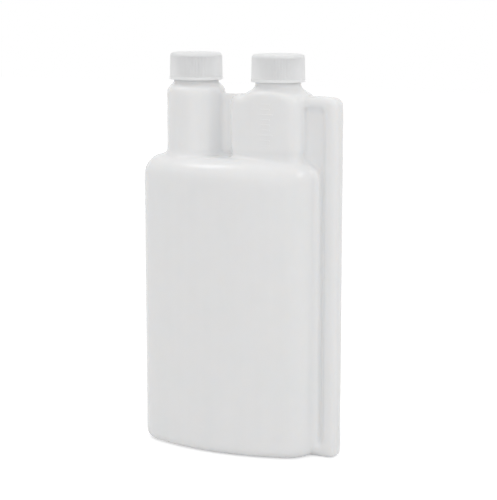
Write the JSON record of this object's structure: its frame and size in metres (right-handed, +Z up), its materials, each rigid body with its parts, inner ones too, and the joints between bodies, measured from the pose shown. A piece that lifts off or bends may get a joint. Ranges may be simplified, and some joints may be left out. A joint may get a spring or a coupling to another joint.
{
  "type": "twin-neck measuring bottle",
  "caption": "Blow-moulded squeeze bottle with a filling neck, a measuring chamber fed by an edge channel, and ribbed screw caps.",
  "frame": {"origin": "bottom centre of the whole object's bounding box, on the plane the bottle stands on", "axes": "+Z up along the necks, -Y towards the front face, +X towards the feed channel"},
  "size_m": [0.1284, 0.0608, 0.2424],
  "materials": {
    "natural_polyethylene": "milky, translucent, soft sheen",
    "white_polypropylene": "injection-moulded, satin",
    "white_foam": "closed-cell foam"
  },
  "bodies": {
    "bottle": {"tank": "natural_polyethylene", "filling_column": "natural_polyethylene", "filling_neck": "natural_polyethylene", "measuring_chamber": "natural_polyethylene", "measuring_neck": "natural_polyethylene", "feed_channel": "natural_polyethylene"},
    "fill_liner": {"fill_cap_liner": "white_foam"},
    "fill_closure": {"fill_cap": "white_polypropylene"},
    "dosing_liner": {"dosing_cap_liner": "white_foam"},
    "dosing_closure": {"dosing_cap": "white_polypropylene"}
  },
  "joints": [
    {"name": "fill_cap_lift", "type": "slide", "parent": "bottle", "child": "fill_liner", "axis": [0, 0, 1], "range_m": [0, 0.0084]},
    {"name": "fill_cap_turn", "type": "hinge", "parent": "fill_liner", "child": "fill_closure", "pos_m": [-0.0329, 0, 0.234], "axis": [0, 0, 1], "range_deg": [0, 720]},
    {"name": "dosing_cap_lift", "type": "slide", "parent": "bottle", "child": "dosing_liner", "axis": [0, 0, 1], "range_m": [0, 0.0084]},
    {"name": "dosing_cap_turn", "type": "hinge", "parent": "dosing_liner", "child": "dosing_closure", "pos_m": [0.023, 0, 0.234], "axis": [0, 0, 1], "range_deg": [0, 720]}
  ],
  "couplings": [
    {"joint": "fill_cap_lift", "follows": "fill_cap_turn", "m_per_rad": 0.00066845},
    {"joint": "dosing_cap_lift", "follows": "dosing_cap_turn", "m_per_rad": 0.00066845}
  ]
}
